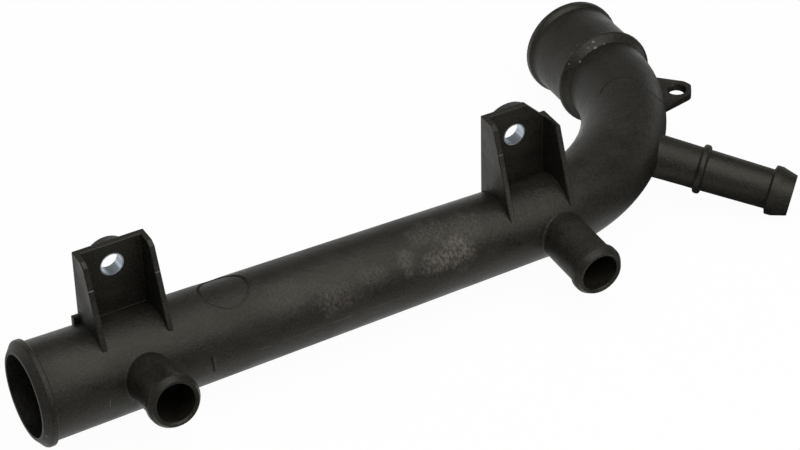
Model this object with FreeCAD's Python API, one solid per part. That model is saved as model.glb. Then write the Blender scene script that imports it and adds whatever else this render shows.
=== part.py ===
"""Moulded coolant pipe with an elbow, three hose nipples and two bolt ears.

The origin is the centre of the left mouth. +X runs along the tube towards the elbow,
+Y is the side the far spigot and the ear bosses face, and +Z is up, the way the ears stand.
All sizes are in millimetres.
"""
import math
import os

import FreeCAD
import Part

Vector = FreeCAD.Vector

# Main tube: a 38 mm hose seat at the left mouth, with moulding draft along its length.
tube_length = 209.7
tube_radius = 19.0
tube_draft = 0.01492
mouth_bore_radius = 15.8
wall = 3.0
bead_radius = 20.3
bead_length = 5.0
mouth_face_radius = 17.1

# Elbow: its centreline leaves the tube along +X and ends at the collar.
elbow_end = Vector(287.84, 66.77, 0.0)
elbow_lead_in = 48.65
elbow_lead_out = 26.23
elbow_middle_radius = 16.9
elbow_end_radius = 17.3
elbow_sections = 13

# Far spigot, past the collar, a little outwards and down from +Y.
spigot_turn_deg = 4.5
spigot_drop_deg = 3.7
spigot_radius = 19.1
spigot_length = 35.6
collar_radius = 20.5
collar_length = 4.0
spigot_bead_radius = 20.4

# Two equal nipples on the near side, for 19 mm hose.
front_bore_radius = 7.39
front_body_radius = 9.37
front_bead_radius = 10.3
left_nipple_x = 41.66
left_nipple_rise_deg = 10.9
left_nipple_reach = 41.3
right_nipple_x = 216.6
right_nipple_drop_deg = 1.5
right_nipple_reach = 42.0
front_root_round = 0.9
front_mouth_radius = 7.95
front_mouth_flare = 0.8

# Nipple on the outside of the elbow, for 16 mm hose.
side_start = Vector(267.4, 25.1, 0.0)
side_turn_deg = 45.0
side_drop_deg = 10.25
side_bore_radius = 6.2
side_root_radius = 8.95
side_tip_radius = 8.05
side_ring_at = 34.0
side_ring_radius = 10.0
side_ring_width = 3.3
side_bead_at = 61.5
side_bead_radius = 9.95
side_reach = 70.8

# Bolt ears: a plate with a gusset at each side and a boss behind, all one moulding.
ear_width = 28.06
ear_top = 47.0
plate_front = 8.14
plate_thickness = 2.79
gusset_thickness = 2.19
gusset_nose = 1.0
gusset_nose_top = 45.5
gusset_ledge = 3.3
gusset_slope = 0.371
gusset_foot_top = 10.0
left_ear_x = 27.55
right_ear_x = 195.46
left_bolt_x = 41.48
left_bolt_height = 37.94
right_bolt_x = 208.74
right_bolt_height = 35.41
left_boss_radius = 9.0
right_boss_radius = 11.5
boss_back = 13.14
cut_corner_x = 214.0
cut_corner_low = 39.7
ear_edge_round = 0.45

# Small locating tab at the outer foot of the left ear.
tab_x = 25.3
tab_width = 3.2
tab_top = 18.7
tab_depth = 2.2

# Plated steel bushes pressed into the ears, for M8 bolts.
bush_bore_radius = 4.2
bush_wall = 0.45

# Flat clip lug on the outside of the elbow.
lug_top = 2.5
lug_thickness = 2.8
lug_hole = Vector(306.5, 43.7, 0.0)
lug_hole_radius = 4.0
lug_hole_low_radius = 3.3
lug_corners = [
    (280.0, 44.0, 0.0),
    (293.0, 34.7, 0.0),
    (310.0, 38.1, 4.0),
    (313.4, 43.6, 2.5),
    (312.2, 47.2, 2.5),
    (299.5, 60.0, 0.0),
    (285.0, 60.0, 0.0),
]

# Shallow round ejector mark on top of the tube.
mark_x = 80.5
mark_radius = 9.3
mark_depth = 0.25

past = 1.0


def tube_outer_radius(x):
    """Outer radius of the drafted tube at a distance from its mouth."""
    return tube_radius - tube_draft * x


tube_end_radius = tube_outer_radius(tube_length)
tube_end_bore_radius = tube_end_radius - wall
spigot_way = Vector(
    math.cos(math.radians(spigot_drop_deg)) * math.sin(math.radians(spigot_turn_deg)),
    math.cos(math.radians(spigot_drop_deg)) * math.cos(math.radians(spigot_turn_deg)),
    -math.sin(math.radians(spigot_drop_deg)),
)
side_way = Vector(
    math.cos(math.radians(side_drop_deg)) * math.sin(math.radians(side_turn_deg)),
    -math.cos(math.radians(side_drop_deg)) * math.cos(math.radians(side_turn_deg)),
    -math.sin(math.radians(side_drop_deg)),
)


def rounded_edges(corners):
    """Closed outline in the XY plane. Each corner is (x, y, rounding radius)."""
    points = [Vector(x, y, 0.0) for x, y, _ in corners]
    count = len(points)
    runs = []
    for i, (_, _, radius) in enumerate(corners):
        here = points[i]
        if radius == 0.0:
            runs.append((here, None, here))
            continue
        back = (points[i - 1] - here).normalize()
        ahead = (points[(i + 1) % count] - here).normalize()
        half = back.getAngle(ahead) / 2.0
        cut = radius / math.tan(half)
        inward = (back + ahead).normalize()
        middle = here + inward * (radius / math.sin(half) - radius)
        runs.append((here + back * cut, middle, here + ahead * cut))
    edges = []
    for i, (start, middle, end) in enumerate(runs):
        if middle is not None:
            edges.append(Part.Arc(start, middle, end).toShape())
        following = runs[(i + 1) % count][0]
        if (following - end).Length > 1e-6:
            edges.append(Part.makeLine(end, following))
    return Part.Wire(edges)


def turned(corners, start, way):
    """Solid turned about a line from start along way. Corners are (along, radius, rounding)."""
    face = Part.Face(rounded_edges(corners))
    solid = face.revolve(Vector(0, 0, 0), Vector(1, 0, 0), 360.0)
    solid.Placement = FreeCAD.Placement(start, FreeCAD.Rotation(Vector(1, 0, 0), way))
    return solid


def rod(radius, start, way, length):
    """Plain round solid from start along way."""
    return Part.makeCylinder(radius, length, start, way)


def block(x, y, z, x_end, y_end, z_end):
    """Box between two corners."""
    return Part.makeBox(x_end - x, y_end - y, z_end - z, Vector(x, y, z))


def prism_along_x(outline, x, length):
    """Flat outline of (y, z) points pushed along +X."""
    points = [Vector(x, y, z) for y, z in outline]
    points.append(points[0])
    return Part.Face(Part.makePolygon(points)).extrude(Vector(length, 0, 0))


def elbow_point(t):
    """Point and direction of the elbow's centreline, t from 0 at the tube to 1 at the collar."""
    a = Vector(tube_length, 0, 0)
    b = a + Vector(elbow_lead_in, 0, 0)
    d = elbow_end
    c = d - spigot_way * elbow_lead_out
    s = 1.0 - t
    point = a * s**3 + b * (3 * s * s * t) + c * (3 * s * t * t) + d * t**3
    way = (b - a) * (s * s) + (c - b) * (2 * s * t) + (d - c) * (t * t)
    return point, way.normalize()


def swept(start_radius, middle_radius, end_radius):
    """Round solid along the elbow's centreline, its radius changing smoothly on the way."""
    sections = []
    for i in range(elbow_sections):
        t = i / (elbow_sections - 1)
        point, way = elbow_point(t)
        start_part = (1 - t) * (1 - 2 * t) * start_radius
        radius = start_part + 4 * t * (1 - t) * middle_radius + t * (2 * t - 1) * end_radius
        circle = Part.Wire([Part.makeCircle(radius)])
        turn = FreeCAD.Rotation(Vector(0, 0, 1), Vector(0, 1, 0), way, "ZXY")
        circle.Placement = FreeCAD.Placement(point, turn)
        sections.append(circle)
    return Part.makeLoft(sections, True, False)


def tube():
    """Drafted tube with the rounded bead at its left mouth."""
    neck = tube_outer_radius(bead_length)
    corners = [
        (0.0, 0.0, 0.0),
        (0.0, mouth_face_radius, 0.3),
        (2.6, bead_radius, 1.2),
        (bead_length - 0.2, bead_radius, 0.5),
        (bead_length, neck, 0.3),
        (tube_length, tube_end_radius, 0.0),
        (tube_length, 0.0, 0.0),
    ]
    return turned(corners, Vector(0, 0, 0), Vector(1, 0, 0))


def spigot():
    """Collar, hose seat and end bead past the elbow."""
    corners = [
        (0.0, 0.0, 0.0),
        (0.0, elbow_end_radius, 0.0),
        (2.2, collar_radius, 1.6),
        (collar_length - 0.1, collar_radius, 0.6),
        (collar_length + 0.3, spigot_radius, 0.3),
        (spigot_length - 6.6, spigot_radius, 1.0),
        (spigot_length - 5.2, spigot_bead_radius, 0.9),
        (spigot_length - 2.6, spigot_bead_radius, 1.2),
        (spigot_length, mouth_face_radius, 0.3),
        (spigot_length, 0.0, 0.0),
    ]
    return turned(corners, elbow_end, spigot_way)


def flow_bore():
    """Space inside the tube, elbow and spigot, as one solid to cut away."""
    inlet = turned(
        [
            (-past, 0.0, 0.0),
            (-past, mouth_bore_radius, 0.0),
            (0.0, mouth_bore_radius, 0.0),
            (tube_length, tube_end_bore_radius, 0.0),
            (tube_length, 0.0, 0.0),
        ],
        Vector(0, 0, 0),
        Vector(1, 0, 0),
    )
    bend = swept(tube_end_bore_radius, elbow_middle_radius - wall, elbow_end_radius - wall)
    outlet = turned(
        [
            (0.0, 0.0, 0.0),
            (0.0, elbow_end_radius - wall, 0.0),
            (spigot_length, mouth_bore_radius, 0.0),
            (spigot_length + past, mouth_bore_radius, 0.0),
            (spigot_length + past, 0.0, 0.0),
        ],
        elbow_end,
        spigot_way,
    )
    return inlet.fuse(bend).fuse(outlet)


def front_nipple(reach, way, x):
    """One of the two beaded nipples on the near side."""
    corners = [
        (8.0, 0.0, 0.0),
        (8.0, front_body_radius, 0.0),
        (reach - 5.3, front_body_radius, 0.5),
        (reach - 4.9, front_bead_radius, 0.6),
        (reach - 2.3, front_bead_radius, 1.6),
        (reach, front_body_radius - 0.5, 0.35),
        (reach, 0.0, 0.0),
    ]
    return turned(corners, Vector(x, 0, 0), way)


def front_bore(reach, way, x):
    """Space inside a near-side nipple, a little wider at its mouth."""
    corners = [
        (0.0, 0.0, 0.0),
        (0.0, front_bore_radius, 0.0),
        (reach - front_mouth_flare, front_bore_radius, 0.3),
        (reach, front_mouth_radius, 0.0),
        (reach + past, front_mouth_radius, 0.0),
        (reach + past, 0.0, 0.0),
    ]
    return turned(corners, Vector(x, 0, 0), way)


def side_nipple():
    """Long nipple on the elbow with a locating ring and an end bead."""
    ring_start = side_ring_at - side_ring_width / 2
    ring_end = side_ring_at + side_ring_width / 2
    slope = (side_root_radius - side_tip_radius) / side_bead_at
    corners = [
        (6.0, 0.0, 0.0),
        (6.0, side_root_radius - slope * 6.0, 0.0),
        (ring_start, side_root_radius - slope * ring_start, 0.0),
        (ring_start + 0.2, side_ring_radius, 1.3),
        (ring_end - 0.2, side_ring_radius, 1.3),
        (ring_end, side_root_radius - slope * ring_end, 0.0),
        (side_bead_at, side_tip_radius, 0.4),
        (side_bead_at + 0.6, side_bead_radius, 0.5),
        (side_bead_at + 3.2, side_bead_radius, 1.2),
        (side_reach, side_tip_radius + 0.2, 0.3),
        (side_reach, 0.0, 0.0),
    ]
    return turned(corners, side_start, side_way)


def ear(x, bolt_x, bolt_height, boss_radius, corner_cut):
    """Bolt ear: plate and two gussets with softened edges, and the boss behind."""
    nose_foot = gusset_nose - gusset_slope * (gusset_nose_top - gusset_foot_top)
    outline = [
        (plate_front + 0.5, ear_top),
        (gusset_ledge, ear_top),
        (gusset_nose, gusset_nose_top),
        (nose_foot, gusset_foot_top),
        (plate_front + 0.5, gusset_foot_top),
    ]
    x_end = x + ear_width
    plate = block(x, plate_front, gusset_foot_top, x_end, plate_front + plate_thickness, ear_top)
    near = prism_along_x(outline, x, gusset_thickness)
    far = prism_along_x(outline, x_end - gusset_thickness, gusset_thickness)
    shape = plate.fuse([near, far]).removeSplitter()
    shown = [e for e in shape.Edges if e.BoundBox.ZMax > gusset_foot_top + 0.01]
    shape = shape.makeFillet(ear_edge_round, shown)
    if corner_cut:
        drop = ear_top - cut_corner_low
        points = [
            Vector(cut_corner_x, -20, ear_top),
            Vector(cut_corner_x + drop, -20, cut_corner_low),
            Vector(x_end + past, -20, cut_corner_low),
            Vector(x_end + past, -20, ear_top + past),
            Vector(cut_corner_x, -20, ear_top + past),
            Vector(cut_corner_x, -20, ear_top),
        ]
        shape = shape.cut(Part.Face(Part.makePolygon(points)).extrude(Vector(0, 60, 0)))
    boss_start = Vector(bolt_x, plate_front + plate_thickness / 2, bolt_height)
    boss = rod(boss_radius, boss_start, Vector(0, 1, 0), boss_back - boss_start.y)
    return shape.fuse(boss)


def locating_tab():
    """Small block behind the left ear's outer foot."""
    y = plate_front + plate_thickness / 2
    z = gusset_foot_top
    return block(tab_x, y, z, tab_x + tab_width, y + tab_depth, tab_top)


def bush(bolt_x, bolt_height):
    """Plated steel bush, flush with both faces of the ear."""
    length = boss_back - plate_front
    start = Vector(bolt_x, plate_front, bolt_height)
    outside = rod(bush_bore_radius + bush_wall, start, Vector(0, 1, 0), length)
    return outside.cut(rod(bush_bore_radius, start, Vector(0, 1, 0), length))


def clip_lug():
    """Flat lug with a round hole on the outside of the elbow."""
    face = Part.Face(rounded_edges(lug_corners))
    face.translate(Vector(0, 0, lug_top - lug_thickness))
    plate = face.extrude(Vector(0, 0, lug_thickness))
    return plate


def clip_hole():
    """Tapered space through the clip lug, widest at its top face."""
    slope = (lug_hole_radius - lug_hole_low_radius) / lug_thickness
    low = lug_hole_low_radius - slope * past
    high = lug_hole_radius + slope * past
    start = lug_hole + Vector(0, 0, lug_top - lug_thickness - past)
    return Part.makeCone(low, high, lug_thickness + 2 * past, start)


def root_edges(shape, axis_start, axis_way, radius, near):
    """Edges where a nipple's wall meets the pipe: on its cylinder and close to its root."""
    found = []
    for edge in shape.Edges:
        points = edge.discretize(9)
        aside = [(p - axis_start).cross(axis_way).Length for p in points]
        along = [(p - axis_start).dot(axis_way) for p in points]
        if max(abs(a - radius) for a in aside) < 0.05 and max(along) < near:
            found.append(edge)
    return found


def pipe_body():
    """The whole black moulding as one solid."""
    rise = math.radians(left_nipple_rise_deg)
    drop = math.radians(right_nipple_drop_deg)
    left_way = Vector(0, -math.cos(rise), math.sin(rise))
    right_way = Vector(0, -math.cos(drop), -math.sin(drop))
    straight = tube()
    bend = swept(tube_end_radius, elbow_middle_radius, elbow_end_radius)
    outside = straight.fuse([bend, spigot()])
    outside = outside.fuse(front_nipple(left_nipple_reach, left_way, left_nipple_x))
    left_root = root_edges(outside, Vector(left_nipple_x, 0, 0), left_way, front_body_radius, 22)
    outside = outside.makeFillet(front_root_round, left_root)
    outside = outside.fuse(front_nipple(right_nipple_reach, right_way, right_nipple_x))
    right_root = root_edges(outside, Vector(right_nipple_x, 0, 0), right_way, front_body_radius, 22)
    outside = outside.makeFillet(front_root_round, right_root)
    outside = outside.fuse(side_nipple())
    outside = outside.fuse(clip_lug())
    left_ear = ear(left_ear_x, left_bolt_x, left_bolt_height, left_boss_radius, False)
    right_ear = ear(right_ear_x, right_bolt_x, right_bolt_height, right_boss_radius, True)
    outside = outside.fuse(left_ear).fuse(right_ear).fuse(locating_tab())

    cutters = [flow_bore()]
    cutters.append(front_bore(left_nipple_reach, left_way, left_nipple_x))
    cutters.append(front_bore(right_nipple_reach, right_way, right_nipple_x))
    cutters.append(rod(side_bore_radius, side_start, side_way, side_reach + past))
    cutters.append(clip_hole())
    bolts = [(left_bolt_x, left_bolt_height), (right_bolt_x, right_bolt_height)]
    for bolt_x, bolt_height in bolts:
        hole_start = Vector(bolt_x, plate_front - past, bolt_height)
        hole_length = boss_back - plate_front + 2 * past
        cutters.append(rod(bush_bore_radius + bush_wall, hole_start, Vector(0, 1, 0), hole_length))
    for cutter in cutters:
        outside = outside.cut(cutter)

    mark_top = tube_outer_radius(mark_x)
    mark = rod(mark_radius, Vector(mark_x, 0, mark_top - 6), Vector(0, 0, 1), 10)
    skin_start = mark_x - mark_radius - past
    skin_length = 2 * (mark_radius + past)
    skin = turned(
        [
            (0.0, tube_outer_radius(skin_start) - mark_depth, 0.0),
            (0.0, mark_top + past, 0.0),
            (skin_length, mark_top + past, 0.0),
            (skin_length, tube_outer_radius(skin_start + skin_length) - mark_depth, 0.0),
        ],
        Vector(skin_start, 0, 0),
        Vector(1, 0, 0),
    )
    return outside.cut(mark.common(skin))


def main():
    """Build every node and write its STEP file."""
    os.makedirs("parts", exist_ok=True)
    nodes = {
        "pipe_body": pipe_body(),
        "left_bush": bush(left_bolt_x, left_bolt_height),
        "right_bush": bush(right_bolt_x, right_bolt_height),
    }
    for name, shape in nodes.items():
        solid = shape.Solids[0] if len(shape.Solids) == 1 else shape
        solid.exportStep("parts/" + name + ".step")
        box = solid.BoundBox
        print(name, len(shape.Solids), solid.isValid(), round(solid.Volume, 1), len(solid.Faces), box)


main()
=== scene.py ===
"""Dresses the moulded coolant pipe and its two steel bushes for the product picture.

Lengths are in metres in the frame of the CAD model: the left mouth is at the origin,
+X runs along the tube, +Y is the side the far spigot faces and +Z is up.
"""
import math

import bpy
from bpy.props import FloatProperty, FloatVectorProperty, PointerProperty
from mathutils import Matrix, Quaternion, Vector


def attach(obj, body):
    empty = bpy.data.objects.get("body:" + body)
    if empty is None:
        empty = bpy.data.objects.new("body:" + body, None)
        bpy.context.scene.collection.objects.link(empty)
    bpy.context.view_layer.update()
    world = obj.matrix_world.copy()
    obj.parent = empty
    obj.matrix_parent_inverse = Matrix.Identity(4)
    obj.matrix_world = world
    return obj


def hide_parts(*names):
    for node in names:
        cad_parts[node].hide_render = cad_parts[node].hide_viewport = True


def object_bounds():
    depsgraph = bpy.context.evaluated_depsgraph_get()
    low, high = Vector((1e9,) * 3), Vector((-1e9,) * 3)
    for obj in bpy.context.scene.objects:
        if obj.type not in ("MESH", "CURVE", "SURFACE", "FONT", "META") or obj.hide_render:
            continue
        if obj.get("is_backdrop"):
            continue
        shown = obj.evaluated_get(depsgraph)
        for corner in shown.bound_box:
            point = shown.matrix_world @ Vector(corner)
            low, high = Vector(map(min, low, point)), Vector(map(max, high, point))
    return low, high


bl_info = {
    "name": "Coolant pipe dresser",
    "version": (1, 0, 0),
    "blender": (4, 5, 0),
    "location": "3D View > Sidebar > Coolant pipe",
    "description": "Finishes the moulded coolant pipe and sets up its picture",
    "category": "Object",
}

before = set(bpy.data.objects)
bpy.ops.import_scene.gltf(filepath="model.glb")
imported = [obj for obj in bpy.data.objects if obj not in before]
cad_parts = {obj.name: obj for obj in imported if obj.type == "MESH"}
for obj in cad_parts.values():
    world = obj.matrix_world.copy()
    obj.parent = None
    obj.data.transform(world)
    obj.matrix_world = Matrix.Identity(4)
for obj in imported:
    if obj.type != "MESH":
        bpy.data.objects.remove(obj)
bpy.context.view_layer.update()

# Start and way of each straight axis of the moulding.
TUBE_START = (0.0, 0.0, 0.0)
TUBE_WAY = (1.0, 0.0, 0.0)
SPIGOT_START = (0.28784, 0.06677, 0.0)
SPIGOT_WAY = (0.078296, 0.994843, -0.064532)
LEFT_NIPPLE_START = (0.04166, 0.0, 0.0)
LEFT_NIPPLE_WAY = (0.0, -0.981959, 0.189095)
RIGHT_NIPPLE_START = (0.2166, 0.0, 0.0)
RIGHT_NIPPLE_WAY = (0.0, -0.999657, -0.026177)
SIDE_START = (0.2674, 0.0251, 0.0)
SIDE_WAY = (0.695821, -0.695821, -0.177944)

# Straight round walls: start and way of the axis, reach from and to along it, radius at
# the start, and growth of the radius along the axis. The tube has its skin, the floor of
# its round mark and its bore here, and each of the others its skin and its bore.
ROUND_WALLS = (
    (TUBE_START, TUBE_WAY, 0.0045, 0.2100, 0.0190, -0.01492),
    (TUBE_START, TUBE_WAY, 0.0040, 0.2100, 0.01875, -0.01492),
    (TUBE_START, TUBE_WAY, -0.001, 0.2100, 0.0158, -0.013967),
    (SPIGOT_START, SPIGOT_WAY, 0.0040, 0.0295, 0.0191, 0.0),
    (SPIGOT_START, SPIGOT_WAY, -0.001, 0.0360, 0.0143, 0.042135),
    (LEFT_NIPPLE_START, LEFT_NIPPLE_WAY, 0.010, 0.0365, 0.00937, 0.0),
    (LEFT_NIPPLE_START, LEFT_NIPPLE_WAY, 0.010, 0.0406, 0.00739, 0.0),
    (RIGHT_NIPPLE_START, RIGHT_NIPPLE_WAY, 0.010, 0.0372, 0.00937, 0.0),
    (RIGHT_NIPPLE_START, RIGHT_NIPPLE_WAY, 0.010, 0.0413, 0.00739, 0.0),
    (SIDE_START, SIDE_WAY, 0.005, 0.0620, 0.00895, -0.014634),
    (SIDE_START, SIDE_WAY, 0.005, 0.0710, 0.0062, 0.0),
)

# Centreline of the elbow, as the four control points of one smooth curve.
ELBOW_CURVE = (
    (0.2097, 0.0, 0.0),
    (0.25835, 0.0, 0.0),
    (0.285786, 0.040675, 0.001693),
    (0.28784, 0.06677, 0.0),
)
ELBOW_STEPS = 80

# Least and greatest radius of the elbow's bore and of its outer skin.
ELBOW_SKINS = ((0.0127, 0.0146), (0.0157, 0.0176))

# A point on a round wall gets the wall's exact normal where it lies this near the wall,
# or this near a ring of the elbow, and its facet faces closely enough the same way. The
# last value is how squarely a facet has to face along X or Y to keep its own normal.
WALL_FIT = 0.00004
WALL_FACING = 0.9
RING_FIT = 0.001
ELBOW_FACING = 0.94
SQUARE_FACING = 0.99999

MERGE_DISTANCE = 0.000002
SMOOTH_ANGLE = math.radians(32)

WHITE = (1.0, 1.0, 1.0, 1.0)

# Rubbed patches: centre, half size along the axes and strength.
SCUFFS = (
    ((0.1708, -0.0136, 0.0092), (0.0066, 0.0052, 0.0070), 1.0),
    ((0.1625, -0.0146, 0.0079), (0.0074, 0.0044, 0.0046), 1.0),
    ((0.1636, -0.0065, 0.0152), (0.0100, 0.0060, 0.0040), 0.45),
    ((0.1762, -0.0082, 0.0142), (0.0095, 0.0070, 0.0050), 0.38),
    ((0.1500, -0.0127, 0.0109), (0.0036, 0.0058, 0.0054), 0.60),
    ((0.1190, -0.0153, 0.0079), (0.0090, 0.0050, 0.0060), 0.45),
    ((0.1354, -0.0138, 0.0099), (0.0065, 0.0040, 0.0045), 0.35),
    ((0.1000, -0.0120, 0.0130), (0.0120, 0.0070, 0.0060), 0.22),
)

# Fine dark lines that the mould's inserts left, one round the elbow and a short one on the
# tube: points of each line and its half width.
WITNESS_LINES = (
    (
        (
            (0.26812, 0.04082, 0.01493),
            (0.27062, 0.04317, 0.01551),
            (0.27386, 0.04411, 0.01665),
            (0.27755, 0.04350, 0.01765),
            (0.28087, 0.04228, 0.01783),
            (0.28316, 0.03950, 0.01734),
            (0.28428, 0.03583, 0.01642),
            (0.28557, 0.03247, 0.01479),
            (0.28928, 0.03063, 0.01075),
            (0.29363, 0.03278, 0.00529),
        ),
        0.00048,
    ),
    (
        (
            (0.0660, -0.01774, 0.0030),
            (0.0665, -0.01800, 0.0),
            (0.0668, -0.01768, -0.0033),
        ),
        0.00065,
    ),
)

# Pale lines: the flash edge at the left plate's foot in three parts, three gusset steps,
# a nick beside the left nipple, one on the left bead, the lip beside the short dark line
# and four dashes of the parting line. On the flash edge, the gusset steps, the lip and the
# parting line they are painted highlights where these raised edges catch the light; the
# two nicks are pale marks of their own. Ends of each line, its half width and its strength.
PALE_AND_HIGHLIGHT_LINES = (
    (((0.0299, 0.0081, 0.0171), (0.0352, 0.0081, 0.0171)), 0.00032, 0.45),
    (((0.0352, 0.0081, 0.0171), (0.0440, 0.0081, 0.0171)), 0.00028, 0.25),
    (((0.0440, 0.0081, 0.0171), (0.0534, 0.0081, 0.0171)), 0.00034, 0.38),
    (((0.0276, -0.0021, 0.0373), (0.0297, -0.0021, 0.0373)), 0.00035, 0.8),
    (((0.0536, -0.0024, 0.0363), (0.0556, -0.0024, 0.0363)), 0.00035, 0.6),
    (((0.1955, -0.0024, 0.0364), (0.1976, -0.0024, 0.0364)), 0.00030, 0.5),
    (((0.0254, -0.0186, 0.0009), (0.0252, -0.01846, -0.0023)), 0.00020, 0.5),
    (((0.00056, -0.01645, -0.0068), (0.0012, -0.0168, -0.0070)), 0.00045, 0.9),
    (((0.0672, -0.01782, 0.0026), (0.0676, -0.01776, -0.0030)), 0.00030, 0.25),
    (((0.0860, -0.01770, -0.0012), (0.0900, -0.01764, -0.0012)), 0.00030, 0.22),
    (((0.0950, -0.01757, -0.0012), (0.1130, -0.01730, -0.0011)), 0.00026, 0.16),
    (((0.1160, -0.01726, -0.0011), (0.1240, -0.01714, -0.0011)), 0.00034, 0.24),
    (((0.1290, -0.01706, -0.0011), (0.1480, -0.01678, -0.0010)), 0.00024, 0.13),
)

# Pale specks of dried coolant round the collar: place and radius.
SPECKS = (
    ((0.27564, 0.06837, 0.01217), 0.0007),
    ((0.28269, 0.06991, 0.01861), 0.0006),
    ((0.28270, 0.06834, 0.01658), 0.0007),
    ((0.27178, 0.07057, 0.01127), 0.0004),
    ((0.27429, 0.07239, 0.01473), 0.0003),
    ((0.28680, 0.06804, 0.01732), 0.0003),
    ((0.28006, 0.06947, 0.01684), 0.0003),
    ((0.27834, 0.07512, 0.01574), 0.0003),
)

# Faint hazes of fine rubs and dust on the collar and the elbow: centre and half size.
HAZE_STRENGTH = 0.08
HAZES = (
    ((0.2780, 0.0760, 0.0150), (0.0090, 0.0080, 0.0060)),
    ((0.2900, 0.0120, 0.0110), (0.0080, 0.0120, 0.0070)),
    ((0.2620, 0.0200, 0.0160), (0.0120, 0.0120, 0.0050)),
)

# Edge of the shallow round mark on top of the tube, darkened as painted shade at its rim. It
# reaches a little below its centre on both sides of the tube, and its near half is faint.
MARK_CENTRE = (0.0805, 0.0, 0.0187)
MARK_RADIUS = 0.0093
MARK_HALF_WIDTH = 0.0006
MARK_REACH_DOWN = 0.006
MARK_BLEND = 0.003
MARK_NEAR_STRENGTH = 0.12

# How strongly each kind of mark covers the nylon's own colour, and the colour of the grooves
# and of the painted shade at the round mark's rim.
FLECK_SHARE = 0.45
SCUFF_SHARE = 0.75
GROOVE_AND_SHADE_SHARE = 0.75
# The pale share also lays on the painted highlights of the raised edges.
PALE_AND_HIGHLIGHT_SHARE = 0.45
GROOVE_AND_SHADE_COLOUR = (0.002, 0.002, 0.002)

# How much each mask adds to the nylon's roughness, and what mottle and clouds add on
# average, which is taken off first.
MOTTLE_ROUGHNESS = 0.10
CLOUD_ROUGHNESS = 0.12
SCUFF_ROUGHNESS = 0.12
GROOVE_ROUGHNESS = 0.35
AVERAGE_ROUGHNESS = 0.12

# Depth of the grooves in heights of the grain, and strength of the nylon's relief.
GROOVE_DEPTH = 4.0
NYLON_RELIEF = 0.75
NYLON_IOR = 1.53
NYLON_SPECULAR = 0.28

# Drawing lines and relief of the plated bushes.
LINE_ROUGHNESS = 0.16
PLATING_RELIEF = 0.2
PLATING_DEPTH = 0.00002

# Floor: edge length, middle, gap under the pipe and share of it that shows as plain white.
FLOOR_SIZE = 12.0
FLOOR_MIDDLE = (0.16, 0.03)
FLOOR_GAP = 0.0001
FLOOR_WHITE = 0.97

# Strength of the floor in reflections: the two ends of a range and the strength at each.
# It is weaker in front of the pipe, at its left and beside the elbow: painted shade in the
# reflected floor, and beside the elbow a painted shadow of the pipe.
GLOW_FRONT = (-0.11, -0.05, 0.4, 1.0)
GLOW_LEFT = (-0.19, -0.12, 0.6, 1.0)
GLOW_ELBOW_SHADE = (0.075, 0.105, 0.05, 1.0)
GLOW_ELBOW_SHADE_CENTRE = (0.19, -0.01, 0.0)

# Strength of the backdrop in reflections, by direction: weaker at the right and in front.
BACKDROP_RIGHT = (0.35, 0.85, 1.0, 0.3)
BACKDROP_FRONT = (-0.3, 0.3, 0.1, 1.0)
BACKDROP_FADE = 0.2
ROOM_BLEND = 0.8

# Wide soft lamp: place, point that it aims at, width and length.
KEY_PLACE = (0.25, -0.35, 0.85)
KEY_AIM = (0.16, 0.02, 0.0)
KEY_SIZE = (1.0, 1.7)

SENSOR_WIDTH = 36.0


class NylonSettings(bpy.types.PropertyGroup):
    """Finish of the black moulding."""

    colour: FloatVectorProperty(
        name="Colour",
        description="Base colour of the black glass-filled nylon",
        subtype="COLOR",
        size=3,
        min=0.0,
        max=1.0,
        default=(0.0050, 0.0047, 0.0036),
    )
    roughness: FloatProperty(
        name="Roughness",
        description="How matt the moulded skin is",
        subtype="FACTOR",
        min=0.0,
        max=1.0,
        default=0.47,
    )
    grain_size: FloatProperty(
        name="Grain size",
        description="Width of one grain of the spark-eroded texture",
        unit="LENGTH",
        min=0.0001,
        max=0.005,
        default=0.0008,
    )
    grain_depth: FloatProperty(
        name="Grain depth",
        description="Height of the grain",
        unit="LENGTH",
        min=0.0,
        max=0.001,
        default=0.00032,
    )
    sheen_tint: FloatVectorProperty(
        name="Sheen tint",
        description="Warm tint of the reflections on the black skin",
        subtype="COLOR",
        size=3,
        min=0.0,
        max=1.0,
        default=(1.0, 0.975, 0.86),
    )
    scuff_colour: FloatVectorProperty(
        name="Scuff colour",
        description="Colour of the pale handling scuffs",
        subtype="COLOR",
        size=3,
        min=0.0,
        max=1.0,
        default=(0.125, 0.108, 0.098),
    )
    # Colour of the pale nicks and dried specks, and of the painted highlights on raised edges.
    pale_and_highlight_colour: FloatVectorProperty(
        name="Pale marks",
        description="Colour of flash edges and dried specks",
        subtype="COLOR",
        size=3,
        min=0.0,
        max=1.0,
        default=(0.30, 0.29, 0.26),
    )


class SteelSettings(bpy.types.PropertyGroup):
    """Finish of the plated bushes."""

    colour: FloatVectorProperty(
        name="Colour",
        description="Colour of the bright zinc plating",
        subtype="COLOR",
        size=3,
        min=0.0,
        max=1.0,
        default=(0.50, 0.56, 0.62),
    )
    roughness: FloatProperty(
        name="Roughness",
        description="Polish of the plating",
        subtype="FACTOR",
        min=0.0,
        max=1.0,
        default=0.28,
    )


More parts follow.
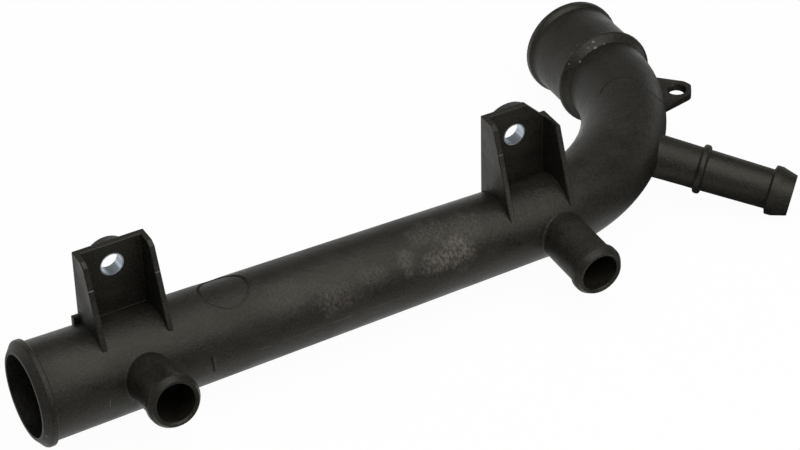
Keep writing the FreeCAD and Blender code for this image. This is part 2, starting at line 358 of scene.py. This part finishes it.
class StageSettings(bpy.types.PropertyGroup):
    """Floor, light and camera of the picture."""

    floor_colour: FloatVectorProperty(
        name="Floor colour",
        description="Colour of the pale floor",
        subtype="COLOR",
        size=3,
        min=0.0,
        max=1.0,
        default=(0.8, 0.8, 0.8),
    )
    room_left: FloatProperty(
        name="Room light, left",
        description="Strength of the even light from the left",
        min=0.0,
        max=5.0,
        default=0.30,
    )
    room_right: FloatProperty(
        name="Room light, right",
        description="Strength of the even light from the right",
        min=0.0,
        max=5.0,
        default=0.15,
    )
    backdrop_top: FloatProperty(
        name="Backdrop top",
        description="Height of the white backdrop as the sine of its angle above the floor",
        subtype="FACTOR",
        min=0.0,
        max=1.0,
        default=0.2,
    )
    key_power: FloatProperty(
        name="Key power",
        description="Power of the large soft lamp overhead",
        unit="POWER",
        min=0.0,
        max=500.0,
        default=12.5,
    )
    camera_place: FloatVectorProperty(
        name="Camera place",
        description="Where the camera stands",
        subtype="TRANSLATION",
        unit="LENGTH",
        size=3,
        default=(-0.28286, -0.81391, 0.69024),
    )
    camera_target: FloatVectorProperty(
        name="Camera target",
        description="Point in the middle of the picture",
        subtype="TRANSLATION",
        unit="LENGTH",
        size=3,
        default=(0.16619, 0.02229, 0.0),
    )
    camera_roll: FloatProperty(
        name="Camera roll",
        description="Turn of the camera about its own line of sight",
        subtype="ANGLE",
        default=math.radians(-1.47),
    )
    lens: FloatProperty(
        name="Lens",
        description="Focal length on a 36 mm sensor",
        unit="CAMERA",
        min=20.0,
        max=300.0,
        default=137.8,
    )


def new_group(name, inputs, outputs):
    """Shader node group with named sockets, its input node and its output node."""
    group = bpy.data.node_groups.new(name, "ShaderNodeTree")
    for socket, kind, value in inputs:
        made = group.interface.new_socket(socket, in_out="INPUT", socket_type=kind)
        if value is not None:
            made.default_value = value
    for socket, kind in outputs:
        group.interface.new_socket(socket, in_out="OUTPUT", socket_type=kind)
    start = group.nodes.new("NodeGroupInput")
    end = group.nodes.new("NodeGroupOutput")
    return group, start, end


def math_node(tree, operation, a, b=None, c=None, clamp=False):
    """Math node whose inputs are numbers or sockets. Returns its output."""
    node = tree.nodes.new("ShaderNodeMath")
    node.operation = operation
    node.use_clamp = clamp
    for slot, value in zip(node.inputs, (a, b, c)):
        if value is None:
            continue
        if isinstance(value, (int, float)):
            slot.default_value = value
        else:
            tree.links.new(value, slot)
    return node.outputs[0]


def vector_node(tree, operation, a, b=None):
    """Vector math node whose inputs are vectors or sockets. Returns its used output."""
    node = tree.nodes.new("ShaderNodeVectorMath")
    node.operation = operation
    for slot, value in zip(node.inputs, (a, b)):
        if value is None:
            continue
        if isinstance(value, tuple):
            slot.default_value = value
        else:
            tree.links.new(value, slot)
    single = operation in ("DOT_PRODUCT", "LENGTH")
    return node.outputs["Value" if single else "Vector"]


def ranged(tree, value, low, high, to_low=0.0, to_high=1.0):
    """Smooth clamped change of a value from one range to another."""
    node = tree.nodes.new("ShaderNodeMapRange")
    node.interpolation_type = "SMOOTHSTEP"
    tree.links.new(value, node.inputs["Value"])
    node.inputs["From Min"].default_value = low
    node.inputs["From Max"].default_value = high
    node.inputs["To Min"].default_value = to_low
    node.inputs["To Max"].default_value = to_high
    return node.outputs["Result"]


def noise(tree, place, scale, detail=2.0, roughness=0.5, stretch=(1.0, 1.0, 1.0), shift=0.0):
    """Noise whose features are stretched along the axes. Returns its factor."""
    mapping = tree.nodes.new("ShaderNodeMapping")
    mapping.inputs["Scale"].default_value = stretch
    mapping.inputs["Location"].default_value = (shift, shift * 0.7, shift * 0.4)
    tree.links.new(place, mapping.inputs["Vector"])
    node = tree.nodes.new("ShaderNodeTexNoise")
    node.inputs["Detail"].default_value = detail
    node.inputs["Roughness"].default_value = roughness
    tree.links.new(mapping.outputs["Vector"], node.inputs["Vector"])
    if isinstance(scale, (int, float)):
        node.inputs["Scale"].default_value = scale
    else:
        tree.links.new(scale, node.inputs["Scale"])
    return node.outputs["Fac"]


def mix_colour(tree, factor, a, b):
    """Mix of two colours or sockets by a mask. Returns its result."""
    node = tree.nodes.new("ShaderNodeMix")
    node.data_type = "RGBA"
    tree.links.new(factor, node.inputs["Factor"])
    for name, value in (("A", a), ("B", b)):
        slot = next(s for s in node.inputs if s.name == name and s.type == "RGBA")
        if isinstance(value, tuple):
            slot.default_value = (*value[:3], 1.0)
        else:
            tree.links.new(value, slot)
    return next(s for s in node.outputs if s.type == "RGBA")


def use_group(tree, group, place, **values):
    """Places a node group, feeds it the coordinates and sets its named inputs."""
    node = tree.nodes.new("ShaderNodeGroup")
    node.node_tree = group
    tree.links.new(place, node.inputs["Place"])
    for name, value in values.items():
        node.inputs[name.replace("_", " ")].default_value = value
    return node


def moulded_grain():
    """Fine moulding grain with the slower mottle of glass-filled nylon."""
    group, start, end = new_group(
        "moulded_grain",
        [("Place", "NodeSocketVector", None), ("Size", "NodeSocketFloat", 0.001)],
        [
            ("Height", "NodeSocketFloat"),
            ("Mottle", "NodeSocketFloat"),
            ("Speckle", "NodeSocketFloat"),
            ("Clouds", "NodeSocketFloat"),
        ],
    )
    place = start.outputs["Place"]
    scale = math_node(group, "DIVIDE", 1.0, start.outputs["Size"])
    fine = noise(group, place, scale, roughness=0.65)
    coarse = noise(group, place, math_node(group, "MULTIPLY", scale, 0.3), shift=3.0)
    fine_share = math_node(group, "MULTIPLY", fine, 0.55)
    height = math_node(group, "MULTIPLY_ADD", coarse, 0.45, fine_share)
    streaks = (0.55, 1.0, 1.0)
    mottle = noise(group, place, 150.0, detail=4.0, roughness=0.65, stretch=streaks, shift=7.0)
    clouds = noise(group, place, 34.0, shift=11.0)
    group.links.new(height, end.inputs["Height"])
    group.links.new(ranged(group, mottle, 0.3, 0.7), end.inputs["Mottle"])
    group.links.new(ranged(group, fine, 0.35, 0.72), end.inputs["Speckle"])
    group.links.new(ranged(group, clouds, 0.32, 0.68), end.inputs["Clouds"])
    return group


def scuff_patch():
    """Soft-edged patch of short pale rubs round a point."""
    group, start, end = new_group(
        "scuff_patch",
        [
            ("Place", "NodeSocketVector", None),
            ("Centre", "NodeSocketVector", None),
            ("Half size", "NodeSocketVector", (0.01, 0.01, 0.01)),
            ("Strength", "NodeSocketFloat", 1.0),
        ],
        [("Mask", "NodeSocketFloat")],
    )
    place = start.outputs["Place"]
    away = vector_node(group, "SUBTRACT", place, start.outputs["Centre"])
    share = vector_node(group, "DIVIDE", away, start.outputs["Half size"])
    length = vector_node(group, "LENGTH", share)
    # The ragged edge wanders by up to 0.8 of the half size, either way.
    edge = noise(group, place, 220.0, detail=3.0, roughness=0.6)
    ragged = math_node(group, "MULTIPLY_ADD", edge, 1.6, -0.8)
    patch = ranged(group, math_node(group, "ADD", length, ragged), 1.35, 0.45)
    slant = (1.2, 0.9, 0.7)
    rubs = noise(group, place, 900.0, detail=3.0, roughness=0.65, stretch=slant, shift=2.0)
    rubbed = math_node(group, "MULTIPLY", patch, ranged(group, rubs, 0.35, 0.68, 0.15, 1.0))
    mask = math_node(group, "MULTIPLY", rubbed, start.outputs["Strength"], clamp=True)
    group.links.new(mask, end.inputs["Mask"])
    return group


def clear_material(name):
    """New node material. Returns it with its tree, shader and object coordinates."""
    material = bpy.data.materials.new(name)
    material.use_nodes = True
    tree = material.node_tree
    shader = tree.nodes["Principled BSDF"]
    place = tree.nodes.new("ShaderNodeTexCoord").outputs["Object"]
    return material, tree, shader, place


def line_mask():
    """Soft mask along a straight stroke between two points."""
    group, start, end = new_group(
        "line_mask",
        [
            ("Place", "NodeSocketVector", None),
            ("From", "NodeSocketVector", None),
            ("To", "NodeSocketVector", (0.01, 0.0, 0.0)),
            ("Half width", "NodeSocketFloat", 0.0003),
        ],
        [("Mask", "NodeSocketFloat")],
    )
    arm = vector_node(group, "SUBTRACT", start.outputs["Place"], start.outputs["From"])
    run = vector_node(group, "SUBTRACT", start.outputs["To"], start.outputs["From"])
    ahead = vector_node(group, "DOT_PRODUCT", arm, run)
    whole = vector_node(group, "DOT_PRODUCT", run, run)
    share = math_node(group, "DIVIDE", ahead, whole, clamp=True)
    scaled = group.nodes.new("ShaderNodeVectorMath")
    scaled.operation = "SCALE"
    group.links.new(run, scaled.inputs[0])
    group.links.new(share, scaled.inputs["Scale"])
    away = vector_node(group, "SUBTRACT", arm, scaled.outputs["Vector"])
    distance = vector_node(group, "LENGTH", away)
    ratio = math_node(group, "DIVIDE", distance, start.outputs["Half width"])
    group.links.new(ranged(group, ratio, 1.0, 0.3), end.inputs["Mask"])
    return group


def joined_lines(tree, group, place, lines):
    """Largest mask of many strokes, each a list of points with a half width and a strength."""
    joined = None
    for points, half_width, strength in lines:
        for near, far in zip(points[:-1], points[1:]):
            stroke = use_group(tree, group, place, From=near, To=far, Half_width=half_width)
            mask = math_node(tree, "MULTIPLY", stroke.outputs["Mask"], strength)
            joined = mask if joined is None else math_node(tree, "MAXIMUM", joined, mask)
    return joined


def ring_mask(tree, place):
    """Thin ring of painted shade at the edge of the tube's round mark, faint on its near side."""
    arm = vector_node(tree, "SUBTRACT", place, MARK_CENTRE)
    split = tree.nodes.new("ShaderNodeSeparateXYZ")
    tree.links.new(arm, split.inputs["Vector"])
    flat = tree.nodes.new("ShaderNodeCombineXYZ")
    tree.links.new(split.outputs["X"], flat.inputs["X"])
    tree.links.new(split.outputs["Y"], flat.inputs["Y"])
    distance = vector_node(tree, "LENGTH", flat.outputs["Vector"])
    off = math_node(tree, "ABSOLUTE", math_node(tree, "SUBTRACT", distance, MARK_RADIUS))
    above = math_node(tree, "GREATER_THAN", split.outputs["Z"], -MARK_REACH_DOWN)
    line = ranged(tree, off, MARK_HALF_WIDTH, MARK_HALF_WIDTH * 0.3)
    edge = math_node(tree, "MULTIPLY", line, above)
    side = ranged(tree, split.outputs["Y"], -MARK_BLEND, MARK_BLEND, MARK_NEAR_STRENGTH, 1.0)
    return math_node(tree, "MULTIPLY", edge, side)


def black_nylon(settings):
    """Semi-matt black glass-filled nylon, as moulded, lightly scuffed."""
    material, tree, shader, place = clear_material("black_nylon")
    grain = use_group(tree, moulded_grain(), place, Size=settings.grain_size)
    scuff_group = scuff_patch()
    scuffed = None
    hazes = [(centre, half, HAZE_STRENGTH) for centre, half in HAZES]
    for centre, half, strength in (*SCUFFS, *hazes):
        values = {"Centre": centre, "Half_size": half, "Strength": strength}
        patch = use_group(tree, scuff_group, place, **values)
        mask = patch.outputs["Mask"]
        scuffed = mask if scuffed is None else math_node(tree, "MAXIMUM", scuffed, mask)
    strokes = line_mask()
    dark_lines = [(points, half_width, 1.0) for points, half_width in WITNESS_LINES]
    grooves_and_shade = joined_lines(tree, strokes, place, dark_lines)
    # The round mark's rim joins the grooves as painted shade.
    grooves_and_shade = math_node(tree, "MAXIMUM", grooves_and_shade, ring_mask(tree, place))
    # Pale lines, most of them painted highlights on raised edges, and the dried specks.
    pale_and_highlight_strokes = list(PALE_AND_HIGHLIGHT_LINES)
    for centre, radius in SPECKS:
        beside = (centre[0] + radius * 0.5, centre[1], centre[2])
        pale_and_highlight_strokes.append(((centre, beside), radius, 1.0))
    pale = joined_lines(tree, strokes, place, pale_and_highlight_strokes)

    base = tuple(settings.colour)
    darker = tuple(c * 0.75 for c in base)
    lighter = tuple(c * 1.9 for c in base)
    fleck = tuple(c * 6.0 for c in base)
    colour = mix_colour(tree, grain.outputs["Mottle"], darker, lighter)
    layers = (
        (grain.outputs["Speckle"], FLECK_SHARE, fleck),
        (scuffed, SCUFF_SHARE, tuple(settings.scuff_colour)),
        (grooves_and_shade, GROOVE_AND_SHADE_SHARE, GROOVE_AND_SHADE_COLOUR),
        (pale, PALE_AND_HIGHLIGHT_SHARE, tuple(settings.pale_and_highlight_colour)),
    )
    for mask, share, paint in layers:
        colour = mix_colour(tree, math_node(tree, "MULTIPLY", mask, share), colour, paint)
    tree.links.new(colour, shader.inputs["Base Color"])

    rough = settings.roughness - AVERAGE_ROUGHNESS
    rough = math_node(tree, "MULTIPLY_ADD", grain.outputs["Mottle"], MOTTLE_ROUGHNESS, rough)
    rough = math_node(tree, "MULTIPLY_ADD", grain.outputs["Clouds"], CLOUD_ROUGHNESS, rough)
    rough = math_node(tree, "MULTIPLY_ADD", scuffed, SCUFF_ROUGHNESS, rough)
    rough = math_node(tree, "MULTIPLY_ADD", grooves_and_shade, GROOVE_ROUGHNESS, rough, clamp=True)
    tree.links.new(rough, shader.inputs["Roughness"])
    shader.inputs["IOR"].default_value = NYLON_IOR
    shader.inputs["Specular IOR Level"].default_value = NYLON_SPECULAR
    shader.inputs["Specular Tint"].default_value = (*settings.sheen_tint, 1.0)

    # Only grain and grooves feed the bump, which keeps the shader small enough to render.
    cut = math_node(tree, "MULTIPLY", grooves_and_shade, GROOVE_DEPTH)
    height = math_node(tree, "SUBTRACT", grain.outputs["Height"], cut)
    bump = tree.nodes.new("ShaderNodeBump")
    bump.inputs["Strength"].default_value = NYLON_RELIEF
    bump.inputs["Distance"].default_value = settings.grain_depth
    tree.links.new(height, bump.inputs["Height"])
    tree.links.new(bump.outputs["Normal"], shader.inputs["Normal"])
    return material


def plated_steel(settings):
    """Bright zinc plating over drawn steel."""
    material, tree, shader, place = clear_material("plated_steel")
    drawn = (1.0, 0.12, 1.0)
    lines = noise(tree, place, 900.0, detail=3.0, roughness=0.6, stretch=drawn)
    clouds = noise(tree, place, 260.0)
    base = tuple(settings.colour)
    darker = tuple(c * 0.86 for c in base)
    colour = mix_colour(tree, ranged(tree, clouds, 0.3, 0.7), darker, base)
    tree.links.new(colour, shader.inputs["Base Color"])
    shader.inputs["Metallic"].default_value = 1.0
    rough = settings.roughness - LINE_ROUGHNESS * 0.5
    rough = math_node(tree, "MULTIPLY_ADD", lines, LINE_ROUGHNESS, rough)
    tree.links.new(rough, shader.inputs["Roughness"])
    bump = tree.nodes.new("ShaderNodeBump")
    bump.inputs["Strength"].default_value = PLATING_RELIEF
    bump.inputs["Distance"].default_value = PLATING_DEPTH
    tree.links.new(lines, bump.inputs["Height"])
    tree.links.new(bump.outputs["Normal"], shader.inputs["Normal"])
    return material


def show_only(material, piece):
    """Gives a piece one material."""
    piece.data.materials.clear()
    piece.data.materials.append(material)


def wall_normal(place, facing, run):
    """Exact normal of a point on a straight round wall, on the facet's side, or None."""
    start, way, near, far, radius, growth = run
    arm = place - start
    along = arm.dot(way)
    if along < near or along > far:
        return None
    aside = arm - way * along
    reach = aside.length
    if abs(reach - radius - growth * along) > WALL_FIT:
        return None
    normal = (aside / reach - way * growth).normalized()
    turn = normal.dot(facing)
    if abs(turn) < WALL_FACING:
        return None
    return normal if turn > 0.0 else -normal


def elbow_rings():
    """Points and directions along the elbow's centreline."""
    a, b, c, d = (Vector(point) for point in ELBOW_CURVE)
    rings = []
    for step in range(ELBOW_STEPS + 1):
        t = step / ELBOW_STEPS
        s = 1.0 - t
        point = a * s**3 + b * (3.0 * s * s * t) + c * (3.0 * s * t * t) + d * t**3
        way = (b - a) * (s * s) + (c - b) * (2.0 * s * t) + (d - c) * (t * t)
        rings.append((point, way.normalized()))
    return rings


def elbow_normal(place, facing, rings):
    """Normal of a point on the elbow's bore or skin, on the facet's side, or None."""
    point, way = min(rings, key=lambda ring: (place - ring[0]).length_squared)
    arm = place - point
    along = arm.dot(way)
    aside = arm - way * along
    reach = aside.length
    if abs(along) > RING_FIT:
        return None
    if not any(least < reach < greatest for least, greatest in ELBOW_SKINS):
        return None
    normal = aside / reach
    turn = normal.dot(facing)
    if abs(turn) < ELBOW_FACING:
        return None
    return normal if turn > 0.0 else -normal


def true_normals(piece):
    """Gives round walls their exact normals and square faces their own, for smooth shading."""
    mesh = piece.data
    runs = []
    for start, way, near, far, radius, growth in ROUND_WALLS:
        runs.append((Vector(start), Vector(way).normalized(), near, far, radius, growth))
    rings = elbow_rings()
    facings = [polygon.normal.copy() for polygon in mesh.polygons]
    normals = [corner.vector.copy() for corner in mesh.corner_normals]
    for polygon, facing in zip(mesh.polygons, facings):
        flat = max(abs(facing.x), abs(facing.y)) > SQUARE_FACING
        for corner in polygon.loop_indices:
            if flat:
                normals[corner] = facing
                continue
            place = mesh.vertices[mesh.loops[corner].vertex_index].co
            exact = None
            for run in runs:
                exact = wall_normal(place, facing, run)
                if exact is not None:
                    break
            if exact is None and place.x > ELBOW_CURVE[0][0]:
                exact = elbow_normal(place, facing, rings)
            if exact is not None:
                normals[corner] = exact
    mesh.normals_split_custom_set(normals)


def smooth_copy(node_name, piece_name):
    """Merged, smooth-shaded copy of a CAD node that is shown in its place."""
    bpy.ops.object.select_all(action="DESELECT")
    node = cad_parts[node_name]
    mesh = node.data.copy()
    piece = bpy.data.objects.new(piece_name, mesh)
    bpy.context.scene.collection.objects.link(piece)
    piece.select_set(True)
    bpy.context.view_layer.objects.active = piece
    bpy.ops.object.mode_set(mode="EDIT")
    bpy.ops.mesh.select_all(action="SELECT")
    bpy.ops.mesh.remove_doubles(threshold=MERGE_DISTANCE)
    bpy.ops.object.mode_set(mode="OBJECT")
    bpy.ops.object.shade_smooth_by_angle(angle=SMOOTH_ANGLE)
    bpy.ops.object.modifier_add(type="WEIGHTED_NORMAL")
    weighted = piece.modifiers[-1]
    weighted.mode = "FACE_AREA_WITH_ANGLE"
    weighted.keep_sharp = True
    bpy.ops.object.modifier_apply(modifier=weighted.name)
    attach(piece, "root")
    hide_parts(node_name)
    return piece


def straight_seen(tree):
    """Masks of rays that see the background straight or through glass, and of glossy rays."""
    path = tree.nodes.new("ShaderNodeLightPath")
    camera = path.outputs["Is Camera Ray"]
    straight = math_node(tree, "MAXIMUM", camera, path.outputs["Is Transmission Ray"])
    return straight, path.outputs["Is Glossy Ray"]


def floor_glow_painted_shade(tree):
    """Strength of the floor in reflections, by place, darkened by painted shade near the pipe."""
    place = tree.nodes.new("ShaderNodeTexCoord").outputs["Object"]
    split = tree.nodes.new("ShaderNodeSeparateXYZ")
    tree.links.new(place, split.inputs["Vector"])
    front = ranged(tree, split.outputs["Y"], *GLOW_FRONT)
    left = ranged(tree, split.outputs["X"], *GLOW_LEFT)
    away = vector_node(tree, "SUBTRACT", place, GLOW_ELBOW_SHADE_CENTRE)
    # Painted shadow of the pipe on the floor beside the elbow.
    beside = ranged(tree, vector_node(tree, "LENGTH", away), *GLOW_ELBOW_SHADE)
    return math_node(tree, "MULTIPLY", math_node(tree, "MULTIPLY", front, left), beside)


def seen_white(tree, lit):
    """Mixes the lit floor with the white that the camera and reflections see."""
    straight, glossy = straight_seen(tree)
    white = tree.nodes.new("ShaderNodeEmission")
    white.inputs["Color"].default_value = WHITE
    # Reflections see this white dimmed by the painted shade near the pipe; the camera sees it even.
    tree.links.new(math_node(tree, "MAXIMUM", straight, floor_glow_painted_shade(tree)), white.inputs["Strength"])
    mixed = tree.nodes.new("ShaderNodeMixShader")
    either = math_node(tree, "MAXIMUM", straight, glossy)
    tree.links.new(math_node(tree, "MULTIPLY", either, FLOOR_WHITE), mixed.inputs["Fac"])
    tree.links.new(lit, mixed.inputs[1])
    tree.links.new(white.outputs["Emission"], mixed.inputs[2])
    return mixed.outputs["Shader"]


def lay_floor(settings):
    """Large pale floor at the lowest point of the pipe."""
    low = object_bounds()[0]
    bpy.ops.object.select_all(action="DESELECT")
    middle = (*FLOOR_MIDDLE, low.z - FLOOR_GAP)
    bpy.ops.mesh.primitive_plane_add(size=FLOOR_SIZE, location=middle)
    floor = bpy.context.active_object
    floor.name = "floor"
    material, tree, shader, _ = clear_material("pale_floor")
    shader.inputs["Base Color"].default_value = (*settings.floor_colour, 1.0)
    shader.inputs["Roughness"].default_value = 0.9
    shader.inputs["Specular IOR Level"].default_value = 0.1
    output = tree.nodes["Material Output"]
    tree.links.new(seen_white(tree, shader.outputs["BSDF"]), output.inputs["Surface"])
    show_only(material, floor)
    floor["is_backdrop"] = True


def light_room(scene, settings):
    """White room, brighter from the left, with one wide soft lamp over the pipe."""
    world = bpy.data.worlds.new("white_room")
    scene.world = world
    world.use_nodes = True
    tree = world.node_tree
    tree.nodes["Background"].inputs["Color"].default_value = WHITE
    place = tree.nodes.new("ShaderNodeTexCoord").outputs["Generated"]
    split = tree.nodes.new("ShaderNodeSeparateXYZ")
    tree.links.new(place, split.inputs["Vector"])
    across = split.outputs["X"]
    top = settings.backdrop_top
    low = ranged(tree, split.outputs["Z"], top, top + BACKDROP_FADE, 1.0, 0.0)
    straight, glossy = straight_seen(tree)
    right_dim = ranged(tree, across, *BACKDROP_RIGHT)
    front_dim = ranged(tree, split.outputs["Y"], *BACKDROP_FRONT)
    dimmed = math_node(tree, "MULTIPLY", right_dim, front_dim)
    mirrored = math_node(tree, "MULTIPLY", glossy, dimmed)
    backdrop = math_node(tree, "MULTIPLY", low, math_node(tree, "MAXIMUM", straight, mirrored))
    sides = (settings.room_left, settings.room_right)
    room = ranged(tree, across, -ROOM_BLEND, ROOM_BLEND, *sides)
    strength = math_node(tree, "MAXIMUM", room, backdrop)
    tree.links.new(strength, tree.nodes["Background"].inputs["Strength"])
    bpy.ops.object.light_add(type="AREA", location=KEY_PLACE)
    key = bpy.context.active_object
    key.name = "key_lamp"
    key.data.shape = "RECTANGLE"
    key.data.size, key.data.size_y = KEY_SIZE
    key.data.energy = settings.key_power
    aim = Vector(KEY_AIM) - key.location
    key.rotation_euler = aim.to_track_quat("-Z", "Y").to_euler()


def set_camera(scene, settings):
    """Camera at the photograph's place, with its small roll."""
    bpy.ops.object.camera_add(location=settings.camera_place)
    camera = bpy.context.active_object
    camera.name = "picture_camera"
    sight = Vector(settings.camera_target) - Vector(settings.camera_place)
    turn = sight.to_track_quat("-Z", "Y") @ Quaternion((0.0, 0.0, 1.0), settings.camera_roll)
    camera.rotation_euler = turn.to_euler()
    camera.data.sensor_width = SENSOR_WIDTH
    camera.data.lens = settings.lens
    camera.data.clip_start = 0.05
    camera.data.clip_end = 50.0
    scene.camera = camera
    scene.view_settings.view_transform = "Standard"


class PIPE_OT_moulding(bpy.types.Operator):
    """Finishes the black moulding"""

    bl_idname = "pipe.moulding"
    bl_label = "Moulding"
    bl_options = {"REGISTER", "UNDO"}

    def execute(self, context):
        piece = smooth_copy("pipe_body", "pipe_moulding")
        true_normals(piece)
        show_only(black_nylon(context.scene.pipe_nylon), piece)
        return {"FINISHED"}


class PIPE_OT_bushes(bpy.types.Operator):
    """Finishes the two plated bushes"""

    bl_idname = "pipe.bushes"
    bl_label = "Bushes"
    bl_options = {"REGISTER", "UNDO"}

    def execute(self, context):
        steel = plated_steel(context.scene.pipe_steel)
        for side in ("left", "right"):
            piece = smooth_copy(side + "_bush", side + "_steel_bush")
            show_only(steel, piece)
        return {"FINISHED"}


class PIPE_OT_stage(bpy.types.Operator):
    """Lays the floor, lights the room and sets the camera"""

    bl_idname = "pipe.stage"
    bl_label = "Stage"
    bl_options = {"REGISTER", "UNDO"}

    def execute(self, context):
        settings = context.scene.pipe_stage
        lay_floor(settings)
        light_room(context.scene, settings)
        set_camera(context.scene, settings)
        return {"FINISHED"}


class PIPE_PT_panel(bpy.types.Panel):
    """Lists the pieces of the coolant pipe"""

    bl_label = "Coolant pipe"
    bl_idname = "PIPE_PT_panel"
    bl_space_type = "VIEW_3D"
    bl_region_type = "UI"
    bl_category = "Coolant pipe"

    def draw(self, context):
        layout = self.layout
        for operator in OPERATORS:
            layout.operator(operator.bl_idname)
        scene = context.scene
        for group in (scene.pipe_nylon, scene.pipe_steel, scene.pipe_stage):
            box = layout.box()
            for name in group.__annotations__:
                box.prop(group, name)


SETTINGS = (
    ("pipe_nylon", NylonSettings),
    ("pipe_steel", SteelSettings),
    ("pipe_stage", StageSettings),
)
OPERATORS = (PIPE_OT_moulding, PIPE_OT_bushes, PIPE_OT_stage)


def register():
    """Registers the classes and hangs the settings on the scene."""
    for name, settings in SETTINGS:
        bpy.utils.register_class(settings)
        setattr(bpy.types.Scene, name, PointerProperty(type=settings))
    for operator in OPERATORS:
        bpy.utils.register_class(operator)
    bpy.utils.register_class(PIPE_PT_panel)


def unregister():
    """Takes everything away again, in the opposite order."""
    bpy.utils.unregister_class(PIPE_PT_panel)
    for operator in reversed(OPERATORS):
        bpy.utils.unregister_class(operator)
    for name, settings in reversed(SETTINGS):
        delattr(bpy.types.Scene, name)
        bpy.utils.unregister_class(settings)


def main():
    """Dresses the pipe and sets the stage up."""
    register()
    bpy.ops.pipe.moulding()
    bpy.ops.pipe.bushes()
    bpy.ops.pipe.stage()


if __name__ == "__main__":
    main()
